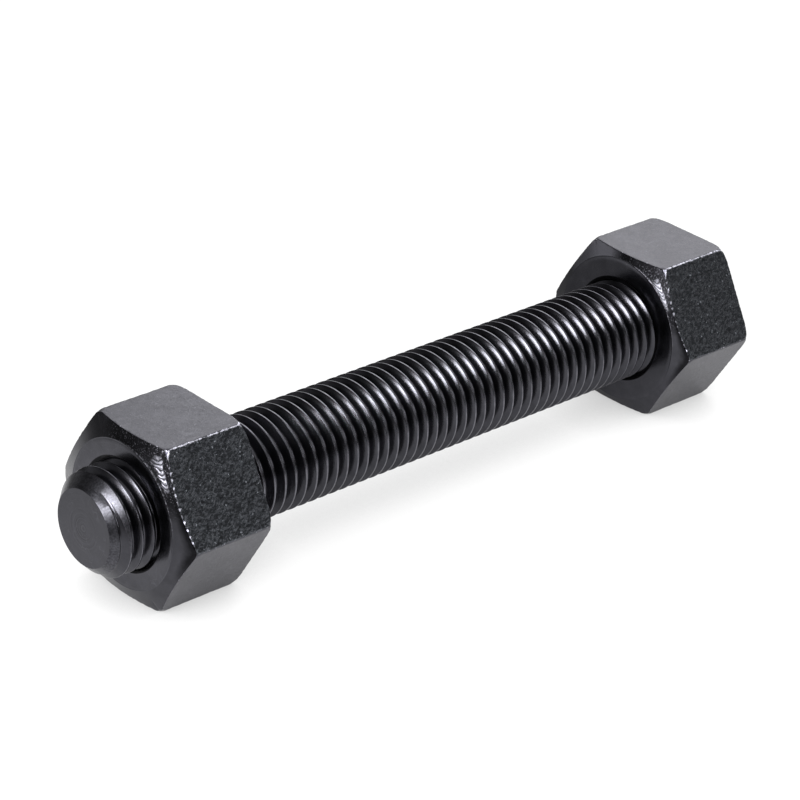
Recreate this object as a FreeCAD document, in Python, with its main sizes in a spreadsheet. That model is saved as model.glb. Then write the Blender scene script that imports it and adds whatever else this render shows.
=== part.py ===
"""A fully threaded stud of one inch with a heavy hexagon nut run on near each end, lying on the nuts' flats.

Millimetres. X runs along the stud from the end with the longer reach, Z is up, and the nuts' lower
flats lie in Z = 0. The origin is under the middle of the stud.
"""
import FreeCAD, Part

import os

import Sketcher

os.makedirs("parts", exist_ok=True)
doc = FreeCAD.newDocument("stud_with_nuts")

# Driving dimensions
# The thread is the one inch, eight per inch series, and the nuts are of the heavy hexagon series.
DIMENSIONS = (
    ("thread_major", 25.4, "diameter over the thread's crests"),
    ("thread_pitch", 3.175, "advance of one turn, eight threads to the inch"),
    ("thread_clearance", 0.05, "gap between the crests and the wall of the nut's bore"),
    ("stud_length", 203.2, "overall length of the stud, eight inches"),
    ("end_diameter", 18.6, "diameter of the flat end, inside the stud's chamfer"),
    ("near_reach", 10.5, "how far the stud's near end stands out of its nut"),
    ("grip_length", 136.0, "distance between the two nuts' inner faces"),
    ("nut_thickness", 24.3, "face to face"),
    ("across_flats", 41.28, "spanner size, one and five eighths of an inch"),
    ("corner_radius", 0.8, "rounding of the nut's six long edges"),
    ("near_circle", 35.7, "diameter of the flat ring inside the chamfer of the near nut's outer face"),
    ("far_circle", 38.0, "the same on the far nut's inner face"),
    ("corner_cut", 0.66, "how deep the chamfer takes the corners on each nut's other face"),
    ("nut_chamfer_angle", 22.0, "slope of the nuts' chamfers against their faces, in degrees"),
    ("countersink_mouth", 27.6, "diameter of the bore's countersink at each face"),
    ("countersink_angle", 90.0, "full angle of the countersinks, in degrees"),
)

sheet = doc.addObject("Spreadsheet::Sheet", "Sizes")
for row, (alias, value, meaning) in enumerate(DIMENSIONS, start=1):
    sheet.set(f"A{row}", alias)
    sheet.set(f"B{row}", str(value))
    sheet.set(f"C{row}", meaning)
    sheet.setAlias(f"B{row}", alias)
doc.recompute()

# Sizes that follow from the driving dimensions, as expressions on the sheet
CREST_RADIUS = "Sizes.thread_major / 2"
BORE_RADIUS = "(Sizes.thread_major / 2 + Sizes.thread_clearance)"
MOUTH_RADIUS = "Sizes.countersink_mouth / 2"
CORNER_RADIUS = "Sizes.across_flats / sqrt(3)"
HALF_STUD = "Sizes.stud_length / 2"
HALF_NUT = "Sizes.nut_thickness / 2"
AXIS_HEIGHT = "Sizes.across_flats / 2"
# The end chamfer is turned at 45 degrees, to well below the thread's roots.
END_CHAMFER = "(Sizes.thread_major - Sizes.end_diameter) / 2"
COUNTERSINK_DEPTH = f"({MOUTH_RADIUS} - {BORE_RADIUS}) / tan(Sizes.countersink_angle / 2)"
# The circle at which the shallow chamfer starts lies outside the flats and cuts only the corners.
CORNER_CIRCLE = f"2 * ({CORNER_RADIUS} - Sizes.corner_cut / tan(Sizes.nut_chamfer_angle))"
# The chamfer's cutting profile reaches out past the corners, to this radius.
CUTTER_RADIUS = "Sizes.across_flats * 0.6"
NEAR_NUT_CENTRE = f"-{HALF_STUD} + Sizes.near_reach + {HALF_NUT}"
FAR_NUT_CENTRE = f"{NEAR_NUT_CENTRE} + Sizes.grip_length + Sizes.nut_thickness"


def number(expression):
    return float(sheet.evalExpression(expression))


def new_sketch(body, name, plane_role):
    """An empty sketch on one of the body's own origin planes."""
    plane = next(item for item in body.Origin.OriginFeatures if item.Role == plane_role)
    sketch = body.newObject("Sketcher::SketchObject", name)
    sketch.AttachmentSupport = (plane, [""])
    sketch.MapMode = "FlatFace"
    return sketch


def bind(sketch, constraint, name, expression):
    """Adds a dimensional constraint and ties it to the sheet."""
    index = sketch.addConstraint(constraint)
    sketch.renameConstraint(index, name)
    sketch.setExpression(f"Constraints.{name}", expression)


def add_loop(sketch, label, corners):
    """A closed outline of straight lines whose corners are given as pairs of expressions.

    A coordinate of None puts the corner on the axis.
    """
    places = [tuple(0.0 if text is None else number(text) for text in corner) for corner in corners]
    points = [FreeCAD.Vector(x, y, 0) for x, y in places]
    first = sketch.GeometryCount
    count = len(points)
    for index in range(count):
        sketch.addGeometry(Part.LineSegment(points[index], points[(index + 1) % count]), False)
    for index in range(count):
        line = first + index
        following = first + (index + 1) % count
        sketch.addConstraint(Sketcher.Constraint("Coincident", line, 2, following, 1))
    for index, (x_text, y_text) in enumerate(corners):
        line = first + index
        if x_text is None:
            sketch.addConstraint(Sketcher.Constraint("PointOnObject", line, 1, -2))
        else:
            along = Sketcher.Constraint("DistanceX", -1, 1, line, 1, places[index][0])
            bind(sketch, along, f"{label}_x{index}", x_text)
        if y_text is None:
            sketch.addConstraint(Sketcher.Constraint("PointOnObject", line, 1, -1))
        else:
            up = Sketcher.Constraint("DistanceY", -1, 1, line, 1, places[index][1])
            bind(sketch, up, f"{label}_y{index}", y_text)


def add_hexagon(sketch):
    """A regular hexagon round the origin with corners on the horizontal axis, so that two flats lie level."""
    radius = number(CORNER_RADIUS)
    turns = [FreeCAD.Rotation(FreeCAD.Vector(0, 0, 1), 60 * step) for step in range(6)]
    points = [turn.multVec(FreeCAD.Vector(radius, 0, 0)) for turn in turns]
    for index in range(6):
        sketch.addGeometry(Part.LineSegment(points[index], points[(index + 1) % 6]), False)
    circle = sketch.addGeometry(
        Part.Circle(FreeCAD.Vector(0, 0, 0), FreeCAD.Vector(0, 0, 1), radius), True
    )
    sketch.addConstraint(Sketcher.Constraint("Coincident", circle, 3, -1, 1))
    for index in range(6):
        sketch.addConstraint(Sketcher.Constraint("Coincident", index, 2, (index + 1) % 6, 1))
        sketch.addConstraint(Sketcher.Constraint("PointOnObject", index, 1, circle))
    for index in range(1, 6):
        sketch.addConstraint(Sketcher.Constraint("Equal", 0, index))
    sketch.addConstraint(Sketcher.Constraint("PointOnObject", 0, 1, -1))
    bind(sketch, Sketcher.Constraint("Radius", circle, radius), "corners", CORNER_RADIUS)


def turned(body, kind, name, sketch):
    """A full turn of the sketch about the body's X axis, added or cut away."""
    feature = body.newObject(kind, name)
    feature.Profile = sketch
    feature.ReferenceAxis = (sketch, ["H_Axis"])
    feature.Angle = 360
    return feature


def place(body, centre_x):
    """Puts the body on the stud's axis, which lies half the width across flats above the ground."""
    if centre_x is not None:
        body.setExpression(".Placement.Base.x", centre_x)
    body.setExpression(".Placement.Base.z", AXIS_HEIGHT)


def make_stud():
    """The rod at its full diameter over the crests, turned with a chamfer on each end."""
    body = doc.addObject("PartDesign::Body", "stud")
    section = new_sketch(body, "stud_half_section", "XZ_Plane")
    end_radius = f"{CREST_RADIUS} - {END_CHAMFER}"
    add_loop(
        section,
        "rod",
        (
            (f"-{HALF_STUD}", None),
            (f"-{HALF_STUD}", end_radius),
            (f"-{HALF_STUD} + {END_CHAMFER}", CREST_RADIUS),
            (f"{HALF_STUD} - {END_CHAMFER}", CREST_RADIUS),
            (HALF_STUD, end_radius),
            (HALF_STUD, None),
        ),
    )
    turned(body, "PartDesign::Revolution", "stud_turning", section)
    place(body, None)
    return body


def round_corners(body, blank):
    """Rounds the six long edges of the hexagonal blank, which run along X."""
    doc.recompute()
    long_edges = [
        f"Edge{index}"
        for index, edge in enumerate(blank.Shape.Edges, start=1)
        if abs(edge.tangentAt(edge.FirstParameter).x) > 0.99
    ]
    fillet = body.newObject("PartDesign::Fillet", f"{body.Name}_corners")
    fillet.Base = (blank, long_edges)
    fillet.setExpression("Radius", "Sizes.corner_radius")


def chamfer_faces(body, left_circle, right_circle):
    """Turns each face back outside its circle, which leaves the curved edges along the flats."""
    profile = new_sketch(body, f"{body.Name}_chamfer_profile", "XZ_Plane")
    for label, face, back, circle in (
        ("left", f"-{HALF_NUT}", "+", left_circle),
        ("right", HALF_NUT, "-", right_circle),
    ):
        start = f"({circle}) / 2"
        depth = f"({CUTTER_RADIUS} - {start}) * tan(Sizes.nut_chamfer_angle)"
        add_loop(
            profile,
            label,
            (
                (face, start),
                (face, CUTTER_RADIUS),
                (f"{face} {back} {depth}", CUTTER_RADIUS),
            ),
        )
    turned(body, "PartDesign::Groove", f"{body.Name}_chamfers", profile)


def bore_through(body):
    """The bore that runs on the stud's crests, with a countersink at each face."""
    profile = new_sketch(body, f"{body.Name}_bore_profile", "XZ_Plane")
    add_loop(
        profile,
        "bore",
        (
            (f"-{HALF_NUT}", None),
            (f"-{HALF_NUT}", MOUTH_RADIUS),
            (f"-{HALF_NUT} + {COUNTERSINK_DEPTH}", BORE_RADIUS),
            (f"{HALF_NUT} - {COUNTERSINK_DEPTH}", BORE_RADIUS),
            (HALF_NUT, MOUTH_RADIUS),
            (HALF_NUT, None),
        ),
    )
    turned(body, "PartDesign::Groove", f"{body.Name}_bore", profile)


def make_nut(name, centre_x, left_circle, right_circle):
    """A heavy hexagon nut, with the circles at which the chamfers of its left and right faces start."""
    body = doc.addObject("PartDesign::Body", name)
    outline = new_sketch(body, f"{name}_outline", "YZ_Plane")
    add_hexagon(outline)
    blank = body.newObject("PartDesign::Pad", f"{name}_blank")
    blank.Profile = outline
    blank.SideType = "Symmetric"
    blank.setExpression("Length", "Sizes.nut_thickness")
    round_corners(body, blank)
    chamfer_faces(body, left_circle, right_circle)
    bore_through(body)
    place(body, centre_x)
    return body


def check_and_write(bodies):
    """Stops on any failed object or bad shape, then writes each body under its own name."""
    doc.recompute()
    failed = [item.Name for item in doc.Objects if {"Invalid", "Error"} & set(item.State)]
    if failed:
        raise RuntimeError(f"these objects did not compute: {failed}")
    for body in bodies:
        if body.Shape.isNull() or not body.Shape.isValid():
            raise RuntimeError(f"{body.Label} has no valid shape")
    for body in bodies:
        body.Shape.exportStep(os.path.join("parts", f"{body.Label}.step"))
        print(body.Label, "volume", round(body.Shape.Volume, 1), "faces", len(body.Shape.Faces))


check_and_write(
    (
        make_stud(),
        make_nut("near_nut", NEAR_NUT_CENTRE, "Sizes.near_circle", CORNER_CIRCLE),
        make_nut("far_nut", FAR_NUT_CENTRE, "Sizes.far_circle", CORNER_CIRCLE),
    )
)
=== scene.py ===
"""Looks of a black threaded stud with a heavy hexagon nut near each end, on a white table.

Metres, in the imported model's frame: X along the stud, Z up, the nuts' lower flats on Z = 0.
The stud's thread and the nuts' worn edges are modelled here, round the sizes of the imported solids.
"""
import math

import bmesh
import bpy
from mathutils import Matrix, Vector, noise


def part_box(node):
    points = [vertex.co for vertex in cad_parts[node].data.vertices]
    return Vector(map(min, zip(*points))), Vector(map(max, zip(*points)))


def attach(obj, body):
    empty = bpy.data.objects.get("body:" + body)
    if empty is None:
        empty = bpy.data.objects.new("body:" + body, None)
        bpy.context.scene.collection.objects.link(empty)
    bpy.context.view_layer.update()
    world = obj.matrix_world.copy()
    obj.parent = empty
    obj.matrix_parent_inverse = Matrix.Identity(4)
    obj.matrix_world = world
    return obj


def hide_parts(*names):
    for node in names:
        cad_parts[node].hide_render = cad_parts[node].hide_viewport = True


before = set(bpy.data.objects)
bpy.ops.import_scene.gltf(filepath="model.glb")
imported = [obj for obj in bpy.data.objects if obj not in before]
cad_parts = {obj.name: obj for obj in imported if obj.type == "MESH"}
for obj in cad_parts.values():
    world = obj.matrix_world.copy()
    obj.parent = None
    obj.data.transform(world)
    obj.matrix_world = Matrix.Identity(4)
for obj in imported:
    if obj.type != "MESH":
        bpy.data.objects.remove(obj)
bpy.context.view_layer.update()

MM = 0.001

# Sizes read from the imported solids
STUD_LOW, STUD_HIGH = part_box("stud")
AXIS_Z = (STUD_LOW.z + STUD_HIGH.z) / 2
CREST_RADIUS = (STUD_HIGH.z - STUD_LOW.z) / 2
STUD_END = STUD_HIGH.x

# A sixth of a turn, which one flat of a nut takes, and half of that
SIXTH = math.pi / 3
HALF_FLAT = math.pi / 6
# Vertices that lie closer than this become one
MERGE_DISTANCE = 0.002 * MM

# The thread: one inch, eight to the inch, right-handed, with a rounded root
PITCH = 3.175 * MM
CREST_FLAT = PITCH / 8
ROOT_RADIUS = 0.144 * PITCH
CREST_BREAK = 0.04 * MM
FLANK_SLOPE = math.sqrt(3)
END_CHAMFER = 3.4 * MM
THREAD_STEPS = 120
# How far the helix is swept past the stud's ends, and the turned blank past the crests
END_OVERRUN = 0.4 * MM
BLANK_ALLOWANCE = 0.3 * MM
STUD_CREASE = math.radians(38)
# Where a crest passes the side of the stud that faces the camera, from the near nut's outer face
CREST_PASSES = -6.90 * MM
CREST_PASS_ANGLE = math.radians(192)

# The nuts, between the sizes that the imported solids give
BORE_RADIUS = CREST_RADIUS + 0.05 * MM
MOUTH_RADIUS = 13.8 * MM
CORNER_RADIUS = 0.8 * MM
CHAMFER_SLOPE = math.tan(math.radians(22))
NEAR_CIRCLE = 17.85 * MM
FAR_CIRCLE = 19.0 * MM
CORNER_CUT = 0.66 * MM
EDGE_BREAK = 0.1 * MM
# The middle of the rounding between chamfer and flat: how far along from the rim and how far in
EDGE_MIDDLE = (0.02 * MM, 0.03 * MM)
GROOVE_WIDTH = 0.32 * MM
GROOVE_DEPTH = 0.035 * MM
NUT_COLUMNS = 840
CHAMFER_STEPS = 20
FLAT_STEPS = 42
COLUMN_CROWDING = 0.125
RING_CROWDING = 0.13
NUT_CREASE = math.radians(50)

# Wear: how far it reaches from a long edge, from an edge of the chamfer and from a tip
CORNER_SPREAD = math.radians(1.35)
EDGE_REACH = 0.35 * MM
TIP_REACH = 1.3 * MM
TIP_SPREAD = 3 * CORNER_SPREAD
# How deep blows go: large and fine ones on the long edges, then inwards and lengthwise on the others
BLOW_SIZE = 1.1 * MM
FINE_BLOW_SIZE = 0.35 * MM
CORNER_BLOW = 0.10 * MM
CORNER_FINE_BLOW = 0.05 * MM
EDGE_BLOW = 0.05 * MM
EDGE_PUSH = 0.06 * MM
NICKED_BLOW = 0.12 * MM
NICKED_PUSH = 0.14 * MM
TIP_DEPTH = 0.45 * MM
COMMON_WEAR_SIZE = 6 * MM
CHIP_WEAR = 1.3
# The corner that has been knocked most, and the middle of the flat below it, from +Y round X
WORN_CORNER = math.radians(120)
WORN_FLAT = math.radians(150)
# The chips in that flat's edge: widest at the top and running out downwards
CHIP_SPACING = 1.6 * MM
CHIP_WIDTH = 0.72 * MM
CHIP_DEPTH = 0.36 * MM
CHIP_SHARE = 0.46
CHIP_WANDER = 2.4 * MM
CHIPPED_LENGTH = 21.5 * MM
CORNER_CHIP_LENGTH = 2.1 * MM
CORNER_CHIP_WIDTH = 0.85 * MM

# The camera, fitted to the photograph
CAMERA_PLACE = (-0.45636, -0.44959, 0.35505)
CAMERA_AZIMUTH = math.radians(-45.008)
CAMERA_ELEVATION = math.radians(27.551)
CAMERA_ROLL = math.radians(4.359)
CAMERA_LENS = 135.11
SENSOR_WIDTH = 36

# Soft lamps: azimuth, elevation, distance, width, height and radiance
LAMPS = {
    "left_box": (181, 18, 0.75, 0.27, 0.19, 26.0),
    "upper_left_box": (192, 34, 0.75, 0.38, 0.22, 9.0),
    "front_left_box": (-113, 24, 0.8, 0.20, 0.30, 6.0),
    "back_box": (34, 40, 0.9, 0.62, 0.6, 1.7),
}
# What metal sees of the room: azimuth, the cosines where a wall starts and is full, and radiance
BACKDROP = (36, 0.35, 0.85, 0.95)
FRONT_WALL = (-45, 0.5, 0.95, 0.25)
LOW_WALL = (128, 0.90, 0.97, 0.35)
LOW_WALL_TOP = (0.10, 0.30)
CEILING_START = (0.66, 0.84)
CEILING_RADIANCE = 0.70
ROOM_RADIANCE = 0.025

# The table: its size, how far round the nuts its painted shadow reaches, and its greys
TABLE_SIZE = 6.0
PAINTED_SHADOW_REACH = 0.020
PAINTED_SHADOW_SAMPLES = 12
GREY_TO_CAMERA = 0.12
GREY_NEAR = 0.42
GREY_FAR_PAINTED_SHADE = 0.10

# Forged scale is a little greener than turned steel
SCALE_TINT = (0.96, 1.02, 1.14, 1)
# The rough flats, by the angle of their middles up from the front
ROUGH_FLATS = (30, 150, 270)
# The strands in their scale: turn, length over width, width and thinness
STRANDS = ((38, 2.8, 0.44 * MM, 0.08), (-15, 2.4, 0.54 * MM, 0.07))
# Noise lies mostly between these values
NOISE_RANGE = (0.3, 0.7)


def smooth_share(low, high, value):
    """0 below low, 1 above high and an even curve between."""
    share = min(1.0, max(0.0, (value - low) / (high - low)))
    return share * share * (3 - 2 * share)


def off_sixth(angle):
    """How far an angle lies from the nearest multiple of a sixth of a turn."""
    return abs((angle + HALF_FLAT) % SIXTH - HALF_FLAT)


def finished(name, mesh, body, replaced, materials, crease):
    """Puts a finished mesh into the scene on its body, with soft shading up to the crease angle."""
    for material in materials:
        mesh.materials.append(material)
    mesh.shade_smooth()
    mesh.set_sharp_from_angle(angle=crease)
    piece = bpy.data.objects.new(name, mesh)
    bpy.context.scene.collection.objects.link(piece)
    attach(piece, body)
    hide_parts(replaced)
    return piece


def mesh_from(bm, name):
    mesh = bpy.data.meshes.new(name)
    bm.to_mesh(mesh)
    bm.free()
    return mesh


def chain(bm, points, closed):
    """Vertices joined one after the other by edges."""
    verts = [bm.verts.new(point) for point in points]
    for first, second in zip(verts, verts[1:] + verts[:1] if closed else verts[1:]):
        bm.edges.new((first, second))
    return verts


def thread_profile():
    """One pitch of the thread, crest to crest: offsets along the axis and depths below the crest."""
    half_flat = CREST_FLAT / 2
    sharp_depth = (PITCH / 2 - half_flat) * FLANK_SLOPE
    arc_centre = sharp_depth - 2 * ROOT_RADIUS
    flank_end = arc_centre + ROOT_RADIUS / 2

    def on_flank(depth):
        return (half_flat + depth / FLANK_SLOPE, depth)

    flank_depths = (CREST_BREAK, CREST_BREAK * 4, flank_end * 0.86, flank_end)
    down = [(half_flat - CREST_BREAK, 0.0)] + [on_flank(depth) for depth in flank_depths]
    arc = [math.radians(turn) for turn in (-30, 0, 30)]
    root = [
        (PITCH / 2 + ROOT_RADIUS * math.sin(turn), arc_centre + ROOT_RADIUS * math.cos(turn))
        for turn in arc
    ]
    up = [(PITCH - along, depth) for along, depth in reversed(down)]
    return down + root + up


def thread_blank():
    """The helical surface, swept past both ends and cut square there."""
    profile = thread_profile()
    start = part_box("near_nut")[0].x + CREST_PASSES
    turn_back = CREST_PASS_ANGLE / (2 * math.pi) * PITCH
    first = start - turn_back
    while first > STUD_LOW.x - 2.5 * PITCH:
        first -= PITCH
    turns = int((STUD_HIGH.x - first) / PITCH) + 2
    points = [
        (first + turn * PITCH + along, CREST_RADIUS - depth, AXIS_Z)
        for turn in range(turns)
        for along, depth in profile
    ]
    bm = bmesh.new()
    verts = chain(bm, points, closed=False)
    bmesh.ops.spin(
        bm,
        geom=verts + bm.edges[:],
        cent=(0, 0, AXIS_Z),
        axis=(1, 0, 0),
        dvec=(PITCH / THREAD_STEPS, 0, 0),
        angle=2 * math.pi,
        steps=THREAD_STEPS,
        use_merge=False,
        use_duplicate=False,
    )
    bmesh.ops.remove_doubles(bm, verts=bm.verts[:], dist=MERGE_DISTANCE)
    for side in (-1, 1):
        bmesh.ops.bisect_plane(
            bm,
            geom=bm.verts[:] + bm.edges[:] + bm.faces[:],
            plane_co=(side * (STUD_END + END_OVERRUN), 0, 0),
            plane_no=(side, 0, 0),
            clear_outer=True,
        )
    for side in (-1, 1):
        rim = [edge for edge in bm.edges if edge.is_boundary and edge.verts[0].co.x * side > 0]
        bmesh.ops.edgenet_fill(bm, edges=rim)
    bmesh.ops.recalc_face_normals(bm, faces=bm.faces[:])
    return mesh_from(bm, "thread_blank")


def turned_envelope():
    """The rod as turned before threading: a little over the crests, with its chamfered ends."""
    reach = CREST_RADIUS + BLANK_ALLOWANCE
    end_radius = CREST_RADIUS - END_CHAMFER
    chamfer = reach - end_radius
    corners = [
        (-STUD_END, 0),
        (-STUD_END, end_radius),
        (-STUD_END + chamfer, reach),
        (STUD_END - chamfer, reach),
        (STUD_END, end_radius),
        (STUD_END, 0),
    ]
    bm = bmesh.new()
    verts = chain(bm, [(x, radius, AXIS_Z) for x, radius in corners], closed=False)
    bmesh.ops.spin(
        bm,
        geom=verts + bm.edges[:],
        cent=(0, 0, AXIS_Z),
        axis=(1, 0, 0),
        angle=2 * math.pi,
        steps=THREAD_STEPS * 2,
        use_merge=True,
        use_duplicate=False,
    )
    bmesh.ops.remove_doubles(bm, verts=bm.verts[:], dist=MERGE_DISTANCE)
    bmesh.ops.recalc_face_normals(bm, faces=bm.faces[:])
    return mesh_from(bm, "turned_envelope")


def common_volume(first, second):
    """The mesh of what two closed meshes share."""
    objects = [bpy.data.objects.new(mesh.name, mesh) for mesh in (first, second)]
    for item in objects:
        bpy.context.scene.collection.objects.link(item)
    cut = objects[0].modifiers.new("cut", "BOOLEAN")
    cut.operation = "INTERSECT"
    cut.solver = "MANIFOLD"
    cut.object = objects[1]
    shaped = objects[0].evaluated_get(bpy.context.evaluated_depsgraph_get())
    mesh = bpy.data.meshes.new_from_object(shaped)
    mesh.materials.clear()
    for item in objects:
        bpy.data.objects.remove(item)
    return mesh


def make_stud(materials):
    mesh = common_volume(thread_blank(), turned_envelope())
    mesh.name = "threaded_stud"
    piece = finished("threaded_stud", mesh, "stud", "stud", materials, STUD_CREASE)
    for face in mesh.polygons:
        square_end = abs(abs(face.center.x) - STUD_END) < 0.01 * MM
        face.material_index = 1 if square_end else 0
    return piece


def hexagon_radius(angle, apothem):
    """How far the hexagon with rounded corners reaches, at an angle from the middle of a flat."""
    off = off_sixth(angle)
    tangent = math.atan((apothem - CORNER_RADIUS) * math.tan(HALF_FLAT) / apothem)
    if off < tangent:
        return apothem / math.cos(off)
    centre = (apothem - CORNER_RADIUS) / math.cos(HALF_FLAT)
    turn = HALF_FLAT - off
    return centre * math.cos(turn) + math.sqrt(CORNER_RADIUS**2 - (centre * math.sin(turn)) ** 2)


def crowded(angle):
    """Shifts a column's angle so that the columns lie closer together at the corners."""
    return angle - COLUMN_CROWDING * math.sin(6 * angle)


def crowded_share(share):
    """Shifts a share of the flat's width so that the rings lie closer together at both edges."""
    return share - RING_CROWDING * math.sin(2 * math.pi * share)


# Stations along the nut's section, from the middle of the bore round one side to its edge with the flat
NUT_STATIONS = (
    [("bore", share) for share in (0.0, 0.5)]
    + [("bore", 1.0), ("face", 0.0), ("face", 0.02)]
    + [("face", share / 4) for share in (1, 2, 3)]
    + [("groove", share) for share in (0.0, 0.4, 0.7, 1.0)]
    + [("chamfer", 0.0)]
    + [("chamfer", share / CHAMFER_STEPS) for share in range(1, CHAMFER_STEPS)]
    + [("chamfer", 0.985), ("edge", 0.0), ("edge", 1.0)]
)
# The material of each kind of strip, by its place among the nut's materials
ZONES = {"bore": 0, "face": 1, "groove": 1, "chamfer": 2, "edge": 3}


def nut_places(side, radius, face_x, other_x, circle):
    """Places (x, r) of the stations on one side of the nut."""
    inward = -side
    half = abs(other_x - face_x) / 2
    sink = MOUTH_RADIUS - BORE_RADIUS
    turned = min(circle, radius - 4 * EDGE_BREAK)
    rim = max(0.0, radius - circle) * CHAMFER_SLOPE
    places = []
    for kind, share in NUT_STATIONS:
        if kind == "bore":
            places.append((face_x + inward * (half + (sink - half) * share), BORE_RADIUS))
        elif kind == "face":
            places.append((face_x, MOUTH_RADIUS + (turned - MOUTH_RADIUS) * share))
        elif kind == "groove":
            depth = GROOVE_DEPTH if 0 < share < 1 else 0.0
            places.append((face_x + inward * depth, turned - GROOVE_WIDTH * (1 - share)))
        elif kind == "chamfer":
            reach = turned + EDGE_BREAK + (radius - turned - 2 * EDGE_BREAK) * share
            places.append((face_x + inward * max(0.0, reach - circle) * CHAMFER_SLOPE, reach))
        elif share == 0:
            places.append((face_x + inward * (rim + EDGE_MIDDLE[0]), radius - EDGE_MIDDLE[1]))
        else:
            places.append((face_x + inward * (rim + EDGE_BREAK), radius))
    return places


def nut_section(angle, apothem, low_x, high_x, low_circle, high_circle):
    """The whole closed section of the nut at an angle, as places (x, r)."""
    radius = hexagon_radius(angle, apothem)
    left = nut_places(-1, radius, low_x, high_x, low_circle)
    right = nut_places(1, radius, high_x, low_x, high_circle)
    start, end = left[-1][0], right[-1][0]
    flat = [
        (start + (end - start) * crowded_share(step / FLAT_STEPS), radius)
        for step in range(1, FLAT_STEPS)
    ]
    return left + flat + right[:0:-1]


def section_zones():
    """The material of each strip between one station of the section and the next."""
    side = [ZONES[kind] for kind, share in NUT_STATIONS[:-1]]
    return side + [ZONES["edge"]] * FLAT_STEPS + side[::-1] + [ZONES["bore"]]


def edge_distance(places, index):
    """How far a place of the section lies from the nearer edge between chamfer and flat."""
    last = len(NUT_STATIONS) - 1
    return min(math.dist(places[index], places[end]) for end in (last, last + FLAT_STEPS))


def chip_width(down, seed):
    """How far the chips reach in from the worn flat's front edge, by the distance down that edge."""
    if down < CORNER_CHIP_LENGTH:
        return CORNER_CHIP_WIDTH * (1 - down / CORNER_CHIP_LENGTH)
    if down > CHIPPED_LENGTH:
        return 0.0
    place = down / CHIP_SPACING + 0.55 * noise.noise(Vector((down / CHIP_WANDER, seed, 0)))
    start = math.floor(place)
    size = 0.60 + 0.75 * noise.noise(Vector((7.3 * start + 0.4, 3.1 * seed, 0.6)))
    return CHIP_WIDTH * size * max(0.0, 1 - (place - start) / CHIP_SHARE)


def chamfer_share(index):
    """0 at the chamfer's inner circle, 1 at its outer edge and on the flats, below 0 on the face."""
    last = len(NUT_STATIONS) - 1
    kind, share = NUT_STATIONS[min(index, max(0, 2 * last + FLAT_STEPS - index), last)]
    if kind == "groove":
        return -0.15 * (1 - share)
    return {"chamfer": share, "edge": 1.0}.get(kind, -1.0)


def corner_nearness(angle, spread):
    """1 in the middle of a rounded corner, 0 at the given angle from it."""
    return max(0.0, 1 - off_sixth(angle) / spread)


def closeness(angle, target, near, far):
    """1 within one angle of a target, falling to 0 at another."""
    off = abs((angle - target + math.pi) % (2 * math.pi) - math.pi)
    return 1 - smooth_share(near, far, off)


def knocks(place, size):
    """Uneven dents from 0 to 1, of about the given size, at a place on a nut."""
    rough = noise.fractal(place / size, 0.7, 2.0, 3)
    return smooth_share(0.05, 0.75, rough + 0.25)


def make_nut(name, node, circle, seed, materials):
    low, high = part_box(node)
    apothem = (high.z - low.z) / 2
    corner_circle = apothem / math.cos(HALF_FLAT) - CORNER_CUT / CHAMFER_SLOPE
    sizes = (apothem, low.x, high.x, circle, corner_circle)
    bm = bmesh.new()
    station = bm.verts.layers.int.new("station")
    section = nut_section(0.0, *sizes)
    verts = chain(bm, [(x, radius, AXIS_Z) for x, radius in section], closed=True)
    for index, vert in enumerate(verts):
        vert[station] = index
    round_axis = {"cent": (0, 0, AXIS_Z), "axis": (1, 0, 0), "use_merge": False}
    bmesh.ops.spin(
        bm,
        geom=verts + bm.edges[:],
        angle=SIXTH,
        steps=NUT_COLUMNS // 6,
        use_duplicate=False,
        **round_axis,
    )
    bmesh.ops.spin(
        bm,
        geom=bm.verts[:] + bm.edges[:] + bm.faces[:],
        angle=5 * SIXTH,
        steps=5,
        use_duplicate=True,
        **round_axis,
    )
    bmesh.ops.remove_doubles(bm, verts=bm.verts[:], dist=MERGE_DISTANCE)
    shape_nut(bm, station, sizes, Vector((0, 0, seed)))
    zones = section_zones()
    for face in bm.faces:
        stations = [vert[station] for vert in face.verts]
        wraps = max(stations) - min(stations) > 1
        face.material_index = zones[-1] if wraps else zones[min(stations)]
    bmesh.ops.recalc_face_normals(bm, faces=bm.faces[:])
    mesh = mesh_from(bm, name)
    return finished(name, mesh, node, node, materials, NUT_CREASE)


def chipped(angle, off, apothem, seed):
    """How far a place near the worn flat's front edge is chipped: a share, and the depth in metres."""
    turn = angle - WORN_FLAT
    if off >= CHIP_WIDTH + CORNER_CHIP_WIDTH or abs(turn) >= HALF_FLAT:
        return 0.0, 0.0
    width = chip_width(apothem * (math.tan(HALF_FLAT) + math.tan(turn)), seed.z)
    chip = max(0.0, 1 - off / width) if width else 0.0
    return chip, CHIP_DEPTH * chip * width / CHIP_WIDTH


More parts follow.
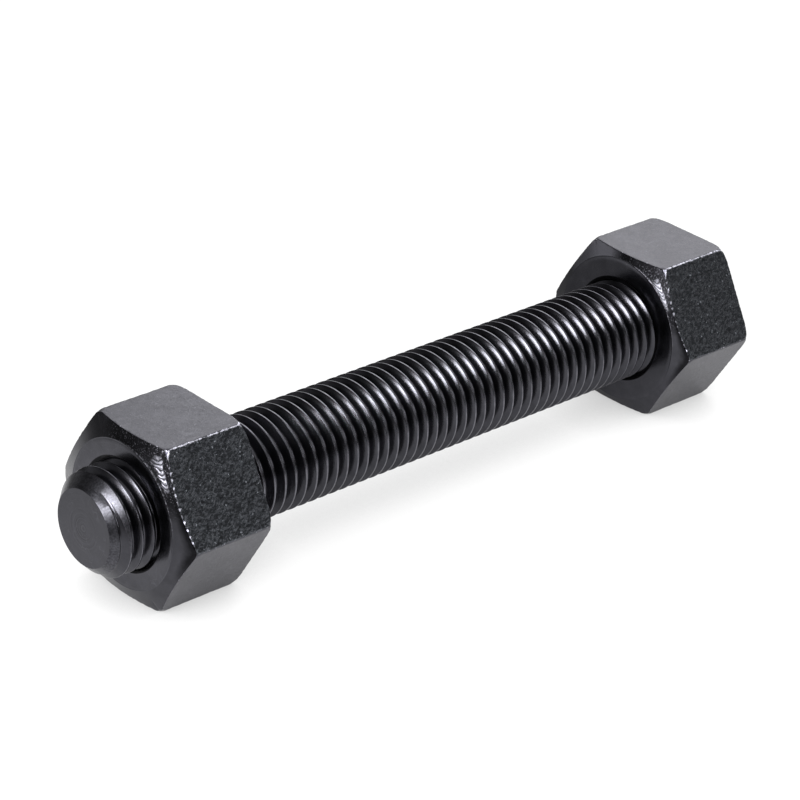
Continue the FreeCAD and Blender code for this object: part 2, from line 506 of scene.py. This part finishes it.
def worn_place(angle, places, index, sizes, seed):
    """The place (x, r) of a station after chips and knocks, and how far it is worn."""
    apothem, low_x, high_x = sizes[:3]
    x, radius = places[index]
    place = Vector((x, radius * math.cos(angle), radius * math.sin(angle)))
    front = x < (low_x + high_x) / 2
    on_flat = chamfer_share(index) == 1.0
    off = edge_distance(places, index)
    corner = tip = chip = 0.0
    edge = max(0.0, 1 - off / EDGE_REACH)
    if radius > apothem:
        corner = corner_nearness(angle, CORNER_SPREAD)
        tip = corner_nearness(angle, TIP_SPREAD) * max(0.0, 1 - off / TIP_REACH)
    if front and on_flat:
        chip, depth = chipped(angle, off, apothem, seed)
        radius -= depth
    if corner or edge or tip:
        blow = knocks(place + seed, BLOW_SIZE)
        fine = knocks(place - seed, FINE_BLOW_SIZE)
        favour = closeness(angle, WORN_CORNER, math.radians(6), math.radians(12))
        nicked = closeness(angle, WORN_FLAT, math.radians(30), math.radians(33)) * front
        radius -= corner * (CORNER_BLOW * blow + CORNER_FINE_BLOW * fine)
        radius -= edge * (EDGE_BLOW + NICKED_BLOW * nicked) * blow
        radius -= tip * tip * TIP_DEPTH
        x += edge * (EDGE_PUSH + NICKED_PUSH * nicked) * blow * (1 if front else -1)
        common = smooth_share(0.1, 0.5, noise.noise((place + seed) / COMMON_WEAR_SIZE))
        corner *= (0.52 + 0.12 * common + 0.48 * favour) * on_flat
        edge *= 0.50 + 0.08 * common
        tip *= favour * on_flat
    return x, radius, max(corner, edge, 1.15 * tip, CHIP_WEAR if chip else 0.0)


def shape_nut(bm, station, sizes, seed):
    """Moves the turned rings to the hexagon's places, with knocked corners and edges."""
    wear = bm.verts.layers.float.new("wear")
    rim = bm.verts.layers.float.new("rim")
    sections = {}
    for vert in bm.verts:
        turn = math.atan2(vert.co.z - AXIS_Z, vert.co.y)
        key = round(turn / (2 * math.pi) * NUT_COLUMNS) % NUT_COLUMNS
        if key not in sections:
            angle = crowded(key / NUT_COLUMNS * 2 * math.pi)
            sections[key] = (angle, nut_section(angle - HALF_FLAT, *sizes))
        angle, places = sections[key]
        index = vert[station]
        x, radius, vert[wear] = worn_place(angle, places, index, sizes, seed)
        vert[rim] = chamfer_share(index)
        vert.co = (x, radius * math.cos(angle), AXIS_Z + radius * math.sin(angle))


def add_node(tree, kind, settings=(), **sockets):
    """A node with its settings and its sockets, each given a value or the output that feeds it."""
    node = tree.nodes.new(kind)
    for key, value in dict(settings).items():
        setattr(node, key, value)
    for key, value in sockets.items():
        socket = node.inputs[int(key[1:]) if key[1:].isdigit() else key.replace("_", " ")]
        if isinstance(value, bpy.types.NodeSocket):
            tree.links.new(value, socket)
        else:
            socket.default_value = value
    return node


def new_material(name):
    material = bpy.data.materials.new(name)
    material.use_nodes = True
    return material, material.node_tree, material.node_tree.nodes["Principled BSDF"]


def steel_colour(level):
    """The faintly blue grey of blackened steel, as the reflectance of bare metal at right angles."""
    return (level, level * 0.995, level * 1.14, 1)


def numbered(values):
    """Values as sockets in their order, for add_node."""
    return {f"_{index}": value for index, value in enumerate(values)}


def math_node(tree, operation, *values):
    return add_node(tree, "ShaderNodeMath", {"operation": operation}, **numbered(values)).outputs[0]


def product(tree, first, second):
    return math_node(tree, "MULTIPLY", first, second)


def total(tree, first, *others):
    for other in others:
        first = math_node(tree, "ADD", first, other)
    return first


def distance(tree, first, second):
    """How far apart two values lie."""
    return math_node(tree, "ABSOLUTE", math_node(tree, "SUBTRACT", first, second))


def vector_node(tree, operation, *values, output=0, **sockets):
    return add_node(
        tree, "ShaderNodeVectorMath", {"operation": operation}, **numbered(values), **sockets
    ).outputs[output]


def length_of(tree, vector):
    return vector_node(tree, "LENGTH", vector, output="Value")


def part_of(tree, vector, axis):
    return add_node(tree, "ShaderNodeSeparateXYZ", Vector=vector).outputs[axis]


def remap(tree, value, low, high, new_low=0.0, new_high=1.0):
    """An even ramp between two values, clamped at both."""
    return add_node(
        tree, "ShaderNodeMapRange", _0=value, _1=low, _2=high, _3=new_low, _4=new_high
    ).outputs[0]


def noise_of(tree, place, size, detail=2.0, roughness=0.5, distortion=0.0):
    """Noise whose lumps are about the given size, in metres."""
    return add_node(
        tree,
        "ShaderNodeTexNoise",
        Vector=place,
        Scale=1 / size,
        Detail=detail,
        Roughness=roughness,
        Distortion=distortion,
    ).outputs["Fac"]


def spread(tree, value, low, high):
    """A noise spread over the range from low to high."""
    return remap(tree, value, *NOISE_RANGE, low, high)


def object_place(tree):
    return add_node(tree, "ShaderNodeTexCoord").outputs["Object"]


def from_axis(tree, place):
    """The vector from the stud's axis to the place, at right angles to the axis."""
    return vector_node(tree, "MULTIPLY_ADD", place, (0, 1, 1), (0, 0, -AXIS_Z))


def attribute_of(tree, name):
    return add_node(tree, "ShaderNodeAttribute", {"attribute_name": name}).outputs["Fac"]


def mix_colour(tree, share, first, second):
    return add_node(
        tree, "ShaderNodeMix", {"data_type": "RGBA"}, _0=share, _6=first, _7=second
    ).outputs[2]


def mix_value(tree, share, first, second):
    return add_node(
        tree, "ShaderNodeMix", {"data_type": "FLOAT"}, _0=share, _2=first, _3=second
    ).outputs[0]


def scaled_colour(tree, level, colour=steel_colour(1.0)[:3]):
    """A colour, or else the steel's own, at a level that a socket gives."""
    return vector_node(tree, "SCALE", colour, Scale=level)


def blackened(tree, shader, colour, roughness, relief, depth):
    """Bare metal of a colour and a roughness, with a relief of 0 to 1 over a depth in metres."""
    tree.links.new(colour, shader.inputs["Base Color"])
    shader.inputs["Metallic"].default_value = 1.0
    tree.links.new(roughness, shader.inputs["Roughness"])
    bump = add_node(tree, "ShaderNodeBump", Height=relief, Distance=depth)
    tree.links.new(bump.outputs[0], shader.inputs["Normal"])


def stretched(tree, place, turn, length):
    """The place turned about Y and drawn out along its new X, so that noise on it runs in strands."""
    settings = {"rotation_type": "Y_AXIS"}
    turned = add_node(
        tree, "ShaderNodeVectorRotate", settings, Vector=place, Angle=math.radians(turn)
    ).outputs[0]
    return vector_node(tree, "MULTIPLY", turned, (1 / length, 1, 1))


def scratches_of(tree, place, size, thin):
    """Long thin curved lines, broken here and there: where a noise passes through its middle value."""
    level = noise_of(tree, place, size, detail=1.0, distortion=1.2)
    line = remap(tree, distance(tree, level, 0.5), thin, 0.0)
    broken = remap(tree, noise_of(tree, place, size * 1.2, detail=1.0), 0.42, 0.60)
    return product(tree, line, broken)


def worn_share(tree, place, low, high):
    """How far the black has been rubbed through, uneven along the edges."""
    patches = noise_of(tree, place, 0.8 * MM, detail=4.0, roughness=0.65)
    patches = remap(tree, patches, 0.28, 0.72)
    return remap(tree, total(tree, attribute_of(tree, "wear"), patches), low, high)


def facing(tree, across, angle, near, far):
    """1 round one side of the nut, at an angle up from the front, fading between two angles off it."""
    turn = math.radians(angle)
    middle = (0, -math.cos(turn), math.sin(turn))
    unit = vector_node(tree, "NORMALIZE", across)
    dot = vector_node(tree, "DOT_PRODUCT", unit, middle, output="Value")
    return remap(tree, dot, math.cos(math.radians(far)), math.cos(math.radians(near)))


def scale_strands(tree, place):
    """Fine strands in two directions, as the scale on the rough flats has them."""
    first, second = (
        scratches_of(tree, stretched(tree, place, turn, length), width, thin)
        for turn, length, width, thin in STRANDS
    )
    return math_node(tree, "MAXIMUM", first, product(tree, second, 0.8))


def forged_flats():
    """Black scale: rough flats with strands and specks that catch the light, and smoother ones."""
    material, tree, shader = new_material("black_oxide_forged")
    place = object_place(tree)
    across = from_axis(tree, place)
    # Each flat takes 30 degrees to either side of its middle
    rough = total(tree, *(facing(tree, across, middle, 29.5, 30.5) for middle in ROUGH_FLATS))
    grain = noise_of(tree, place, 0.5 * MM, detail=3.0, roughness=0.62, distortion=0.5)
    fibres = scale_strands(tree, place)
    specks = remap(tree, noise_of(tree, place, 0.50 * MM, detail=0.0), 0.78, 0.84)
    level = spread(tree, noise_of(tree, place, 5 * MM, detail=3.0), 0.084, 0.100)

    pits = noise_of(tree, place, 0.8 * MM, detail=3.0, distortion=0.8)
    pits = remap(tree, pits, 0.34, 0.5, 0.62, 1.0)
    light = total(tree, product(tree, fibres, 0.17), product(tree, specks, 0.5))
    rough_level = total(tree, product(tree, product(tree, level, 0.72), pits), light)

    mottle = spread(tree, noise_of(tree, place, 1.1 * MM, detail=4.0, roughness=0.7), 0.86, 1.12)
    hair = scratches_of(tree, place, 5 * MM, 0.02)
    marks = total(tree, product(tree, specks, 0.07), product(tree, hair, 0.03))
    smooth_level = total(tree, product(tree, level, mottle), marks)

    worn = worn_share(tree, place, 1.22, 1.34)
    tint = mix_colour(tree, rough, steel_colour(1.0), SCALE_TINT)
    black = scaled_colour(tree, mix_value(tree, rough, smooth_level, rough_level), tint)
    colour = mix_colour(tree, worn, black, steel_colour(0.75))
    relief = total(tree, grain, product(tree, fibres, 0.6))
    relief = product(tree, relief, remap(tree, rough, 0, 1, 0.4, 1))
    nicks = product(tree, noise_of(tree, place, 0.3 * MM, detail=2.0), worn)
    relief = total(tree, relief, product(tree, nicks, 0.9))
    blackened(tree, shader, colour, spread(tree, grain, 0.30, 0.42), relief, 0.05 * MM)
    return material


def turned_steel(name, level, roughness, groove, depth):
    """A face turned round the stud's axis: fine rings, a few scratches and clouded black."""
    material, tree, shader = new_material(name)
    place = object_place(tree)
    length = length_of(tree, from_axis(tree, place))
    ring_place = add_node(tree, "ShaderNodeCombineXYZ", X=length).outputs[0]
    rings = noise_of(tree, ring_place, groove, detail=2.0, roughness=0.7)
    rings = math_node(tree, "SUBTRACT", rings, 0.5)
    # The rings are strongest near the middle and come and go round it
    middle = remap(tree, length, 6 * MM, 1 * MM, 0.5, 2.8)
    here = remap(tree, noise_of(tree, place, 5 * MM, detail=1.0), 0.40, 0.60, 0.15, 1.5)
    rings = product(tree, product(tree, rings, middle), here)
    scratches = scratches_of(tree, place, 4 * MM, 0.02)
    clouds = noise_of(tree, place, 3.5 * MM, detail=4.0, roughness=0.6)
    tone = spread(tree, clouds, level * 0.88, level * 1.12)
    tone = total(tree, tone, product(tree, scratches, level * 0.35))
    tone = total(tree, tone, product(tree, rings, level * 0.7))
    dull = spread(tree, clouds, roughness * 0.9, roughness * 1.15)
    fine = noise_of(tree, place, 0.3 * MM, detail=2.0)
    relief = total(tree, rings, product(tree, fine, 0.4))
    blackened(tree, shader, scaled_colour(tree, tone), dull, relief, depth)
    return material


def scallops(tree, place, aside):
    """Hollows struck one below the other, each brightest at its lower lip."""
    spacing = 0.85 * MM
    sag = product(tree, product(tree, aside, aside), 16.0)
    height = product(tree, part_of(tree, place, "Z"), 1 / spacing)
    shaken = product(tree, noise_of(tree, place, 1.6 * MM, detail=3.0), 1.7)
    row = total(tree, math_node(tree, "SUBTRACT", height, sag), shaken)
    return math_node(tree, "PINGPONG", math_node(tree, "FRACT", row), 0.62)


def chamfered_steel(name, scaly_sector, patch_sector, patch_middle, rubbed):
    """The turned chamfer: smooth low on the front, black and scaly above, with a hammered patch. The
    black above is partly painted shade; its scale is real.

    A sector is the angle of its middle up from the front and the two angles over which it fades.
    """
    material, tree, shader = new_material(name)
    place = object_place(tree)
    across = from_axis(tree, place)
    rim = attribute_of(tree, "rim")
    uneven = math_node(tree, "SUBTRACT", noise_of(tree, place, 1.2 * MM, 4.0), 0.5)
    uneven = product(tree, uneven, 0.5)
    clouds = noise_of(tree, place, 2.5 * MM, detail=3.0)

    # The smooth side has a dark band along the flat, and painted light on the upper back side: paler
    # steel where light falls there
    band = remap(tree, total(tree, rim, product(tree, uneven, 0.5)), 0.40, 0.82)
    band = product(tree, band, facing(tree, across, 18, 26, 46))
    smooth_tone = spread(tree, clouds, 0.054, 0.068)
    smooth_tone = product(tree, smooth_tone, remap(tree, band, 0, 1, 1, 0.22))
    # Painted light: the rubbed amount makes the upper back side paler
    lighter = product(tree, facing(tree, across, 118, 14, 34), rubbed)
    smooth_tone = total(tree, smooth_tone, lighter)

    specks = noise_of(tree, place, 0.36 * MM, detail=2.0, roughness=0.6)
    specks = remap(tree, specks, 0.57, 0.72)
    # Partly painted shade: the scaly sector's tone is near black for the dark it mirrors, while its
    # specks and relief are the scale's own
    scaly_painted_shade_tone = total(tree, spread(tree, clouds, 0.007, 0.014), product(tree, specks, 0.12))
    scaly = facing(tree, across, *scaly_sector)
    tone = mix_value(tree, scaly, smooth_tone, scaly_painted_shade_tone)

    aside = total(tree, rim, product(tree, uneven, 0.7))
    inside = remap(tree, distance(tree, aside, patch_middle), 0.25, 0.13)
    patch = product(tree, facing(tree, across, *patch_sector), inside)
    ridges = scallops(tree, place, math_node(tree, "SUBTRACT", rim, patch_middle))
    tone = total(tree, tone, product(tree, patch, remap(tree, ridges, 0.1, 0.85, 0.02, 0.55)))

    # Painted highlight: a bright line in broken dots where the chamfer starts
    line = remap(tree, math_node(tree, "ABSOLUTE", rim), 0.09, 0.02)
    line = product(tree, line, facing(tree, across, 48, 30, 42))
    painted_highlight_dots = product(tree, line, remap(tree, noise_of(tree, place, 0.5 * MM, 3.0), 0.42, 0.6))
    tone = total(tree, tone, product(tree, painted_highlight_dots, 0.2))

    worn = worn_share(tree, place, 1.30, 1.42)
    colour = mix_colour(tree, worn, scaled_colour(tree, tone), steel_colour(0.55))
    grain = noise_of(tree, place, 0.45 * MM, detail=3.0, roughness=0.65)
    relief = product(tree, total(tree, scaly, worn), grain)
    relief = total(tree, relief, product(tree, patch, product(tree, ridges, 1.6)))
    dull = remap(tree, scaly, 0.0, 1.0, 0.24, 0.36)
    blackened(tree, shader, colour, dull, relief, 0.06 * MM)
    return material


def painted_shade_bore():
    material, tree, shader = new_material("black_oxide_bore_painted_shade")
    # Painted shade: the bore is much darker than the nut's faces, for the shade inside the hole
    tone = noise_of(tree, object_place(tree), 0.6 * MM, detail=3.0)
    tone = spread(tree, tone, 0.012, 0.02)
    tree.links.new(scaled_colour(tree, tone), shader.inputs["Base Color"])
    shader.inputs["Metallic"].default_value = 1.0
    shader.inputs["Roughness"].default_value = 0.5
    return material


def end_cone(tree, place, length):
    """1 on the 45 degree chamfers of the stud's ends, 0 in the thread's grooves and on its crests."""
    along = math_node(tree, "ABSOLUTE", part_of(tree, place, "X"))
    meeting = STUD_END + CREST_RADIUS - END_CHAMFER
    return remap(tree, distance(tree, total(tree, along, length), meeting), 0.06 * MM, 0.03 * MM)


def cut_thread():
    """Glossy flanks with fine streaks along the helix, and crests rubbed a little lighter."""
    material, tree, shader = new_material("black_oxide_thread")
    place = object_place(tree)
    across = from_axis(tree, place)
    length = length_of(tree, across)
    streak_width = 0.12 * MM
    along = product(tree, length, 1 / streak_width)
    along = add_node(tree, "ShaderNodeCombineXYZ", X=along).outputs[0]
    turned = vector_node(tree, "NORMALIZE", across)
    streak_place = vector_node(tree, "MULTIPLY_ADD", turned, (1.5, 1.5, 1.5), along)
    streaks = noise_of(tree, streak_place, 1.0, detail=3.0, roughness=0.6)

    tone = spread(tree, noise_of(tree, place, 2.5 * MM, detail=3.0), 0.056, 0.072)
    crest = remap(tree, length, CREST_RADIUS - 0.04 * MM, CREST_RADIUS - 0.01 * MM)
    rubbed = spread(tree, noise_of(tree, place, 1.2 * MM, detail=3.0), 0.04, 0.11)
    tone = total(tree, tone, product(tree, crest, rubbed))
    cone = end_cone(tree, place, length)
    pits = noise_of(tree, place, 0.5 * MM, detail=3.0, roughness=0.7)
    tone = total(tree, tone, product(tree, cone, remap(tree, pits, 0.4, 0.6, -0.01, 0.03)))
    dull = total(tree, spread(tree, streaks, 0.17, 0.27), product(tree, cone, 0.10))
    relief = total(tree, streaks, product(tree, cone, product(tree, pits, 4.0)))
    blackened(tree, shader, scaled_colour(tree, tone), dull, relief, 0.005 * MM)
    return material


def make_camera():
    data = bpy.data.cameras.new("camera")
    data.lens = CAMERA_LENS
    data.sensor_width = SENSOR_WIDTH
    data.clip_start, data.clip_end = 0.01, 20
    camera = bpy.data.objects.new("camera", data)
    azimuth, elevation = CAMERA_AZIMUTH, CAMERA_ELEVATION
    back = Vector(
        (
            math.sin(azimuth) * math.cos(elevation),
            -math.cos(azimuth) * math.cos(elevation),
            math.sin(elevation),
        )
    )
    level = Vector((math.cos(azimuth), math.sin(azimuth), 0))
    upright = back.cross(level)
    right = math.cos(CAMERA_ROLL) * level + math.sin(CAMERA_ROLL) * upright
    up = back.cross(right)
    turn = Matrix((right, up, back)).transposed().to_4x4()
    camera.matrix_world = Matrix.Translation(CAMERA_PLACE) @ turn
    bpy.context.scene.collection.objects.link(camera)
    bpy.context.scene.camera = camera


def make_softbox(name, azimuth, elevation, distance, width, height, radiance):
    """A flat lamp aimed at the stud's middle. Its radiance is what a mirror would show of it."""
    data = bpy.data.lights.new(name, "AREA")
    data.shape = "RECTANGLE"
    data.size, data.size_y = width, height
    data.energy = radiance * math.pi * width * height
    lamp = bpy.data.objects.new(name, data)
    azimuth, elevation = math.radians(azimuth), math.radians(elevation)
    away = Vector(
        (
            math.cos(azimuth) * math.cos(elevation),
            math.sin(azimuth) * math.cos(elevation),
            math.sin(elevation),
        )
    )
    lamp.location = Vector((0, 0, AXIS_Z)) + away * distance
    lamp.rotation_mode = "QUATERNION"
    lamp.rotation_quaternion = away.to_track_quat("Z", "Y")
    bpy.context.scene.collection.objects.link(lamp)


def grey(level):
    return (level, level, level, 1)


def make_floor():
    bm = bmesh.new()
    bmesh.ops.create_grid(bm, x_segments=1, y_segments=1, size=TABLE_SIZE)
    floor = bpy.data.objects.new("floor", mesh_from(bm, "floor"))
    bpy.context.scene.collection.objects.link(floor)
    floor.data.materials.append(white_table())


def white_table():
    """White to the camera but for the shadow, mostly painted from ambient occlusion, and a dim grey
    table in what the metal mirrors, with painted light near the nuts and painted shade further out and
    behind the stud's far half.
    """
    material, tree, shader = new_material("white_table")
    tree.nodes.remove(shader)
    place = object_place(tree)
    reach = length_of(tree, place)
    path = add_node(tree, "ShaderNodeLightPath")
    to_camera, to_metal = path.outputs["Is Camera Ray"], path.outputs["Is Glossy Ray"]
    open_air = add_node(
        tree, "ShaderNodeAmbientOcclusion", {"samples": PAINTED_SHADOW_SAMPLES}, Distance=PAINTED_SHADOW_REACH
    ).outputs["AO"]
    # Painted shade: behind the stud's far half the table's mirrored glow and grey are dimmed
    behind = product(
        tree,
        remap(tree, part_of(tree, place, "Y"), 0.0, 0.02),
        remap(tree, part_of(tree, place, "X"), -0.05, -0.01),
    )

    # Painted shadow: to the camera the table glows white, dimmed by ambient occlusion round the nuts
    seen_with_painted_shadow = product(tree, to_camera, remap(tree, open_air, 0.05, 0.62, 0.42, 0.965))
    far_white = product(tree, to_camera, remap(tree, reach, 0.15, 0.6, 0.0, 0.08))
    # Painted light and shade in what the metal mirrors: the table glows brightest near the nuts, dimmed
    # by ambient occlusion round them
    shade = remap(tree, open_air, 0.1, 0.9, 0.55, 1.0)
    painted_mirrored_light = product(tree, remap(tree, reach, 0.10, 0.23, 0.64, 0.0), shade)
    painted_mirrored_light = product(tree, painted_mirrored_light, remap(tree, behind, 0.0, 1.0, 1.0, 0.3))
    strength = total(tree, seen_with_painted_shadow, product(tree, to_metal, painted_mirrored_light), far_white)
    glow = add_node(tree, "ShaderNodeEmission", Strength=strength)

    # Painted shade: the grey that the lamps light and the metal mirrors falls off away from the nuts,
    # and is dimmed behind the stud's far half
    painted_falloff_grey = mix_colour(tree, remap(tree, reach, 0.10, 0.26), grey(GREY_NEAR), grey(GREY_FAR_PAINTED_SHADE))
    painted_falloff_grey = mix_colour(tree, behind, painted_falloff_grey, grey(GREY_TO_CAMERA))
    tone = mix_colour(tree, to_camera, painted_falloff_grey, grey(GREY_TO_CAMERA))
    matt = add_node(tree, "ShaderNodeBsdfDiffuse", Color=tone)
    both = add_node(tree, "ShaderNodeAddShader", _0=glow.outputs[0], _1=matt.outputs[0])
    tree.links.new(both.outputs[0], tree.nodes["Material Output"].inputs["Surface"])
    return material


def wall(tree, direction, azimuth, low, high, radiance):
    """Light from round an azimuth, rising from one cosine to another as a direction turns to it."""
    turn = math.radians(azimuth)
    middle = (math.cos(turn), math.sin(turn), 0)
    dot = vector_node(tree, "DOT_PRODUCT", direction, middle, output="Value")
    return product(tree, remap(tree, dot, low, high), radiance)


def make_world():
    """White to the camera. Metal sees a pale backdrop behind the stud, a ceiling and a dim room."""
    world = bpy.data.worlds.new("studio")
    bpy.context.scene.world = world
    world.use_nodes = True
    tree = world.node_tree
    ground = tree.nodes["Background"]
    direction = add_node(tree, "ShaderNodeTexCoord").outputs["Generated"]
    height = part_of(tree, direction, "Z")
    backdrop = wall(tree, direction, *BACKDROP)
    ceiling = product(tree, remap(tree, height, *CEILING_START), CEILING_RADIANCE)
    below = math_node(tree, "SUBTRACT", 1.0, remap(tree, height, *LOW_WALL_TOP))
    low_wall = product(tree, wall(tree, direction, *LOW_WALL), below)
    front = total(tree, wall(tree, direction, *FRONT_WALL), low_wall)
    room = total(tree, math_node(tree, "MAXIMUM", backdrop, ceiling), front, ROOM_RADIANCE)
    to_camera = add_node(tree, "ShaderNodeLightPath").outputs["Is Camera Ray"]
    tree.links.new(mix_value(tree, to_camera, room, 1.0), ground.inputs["Strength"])
    ground.inputs["Color"].default_value = (1, 1, 1, 1)


def make_studio():
    make_world()
    make_floor()
    for name, lamp in LAMPS.items():
        make_softbox(name, *lamp)
    bpy.context.scene.view_settings.view_transform = "Standard"


def make_part():
    end_face = turned_steel(
        "black_oxide_end_face", level=0.072, roughness=0.42, groove=0.42 * MM, depth=0.02 * MM
    )
    make_stud([cut_thread(), end_face])
    face = turned_steel(
        "black_oxide_turned_face", level=0.076, roughness=0.22, groove=0.35 * MM, depth=0.004 * MM
    )
    bore, flats = painted_shade_bore(), forged_flats()
    near_chamfer = chamfered_steel(
        "black_oxide_near_chamfer",
        scaly_sector=(68, 34, 50),
        patch_sector=(51, 6, 13),
        patch_middle=0.45,
        rubbed=0.0,
    )
    far_chamfer = chamfered_steel(
        "black_oxide_far_chamfer",
        scaly_sector=(60, 32, 44),
        patch_sector=(47, 6, 13),
        patch_middle=0.30,
        # Painted light on the upper back of the far chamfer
        rubbed=0.22,
    )
    make_nut("near_nut_body", "near_nut", NEAR_CIRCLE, 1.0, [bore, face, near_chamfer, flats])
    make_nut("far_nut_body", "far_nut", FAR_CIRCLE, 2.0, [bore, face, far_chamfer, flats])


make_part()
make_studio()
make_camera()
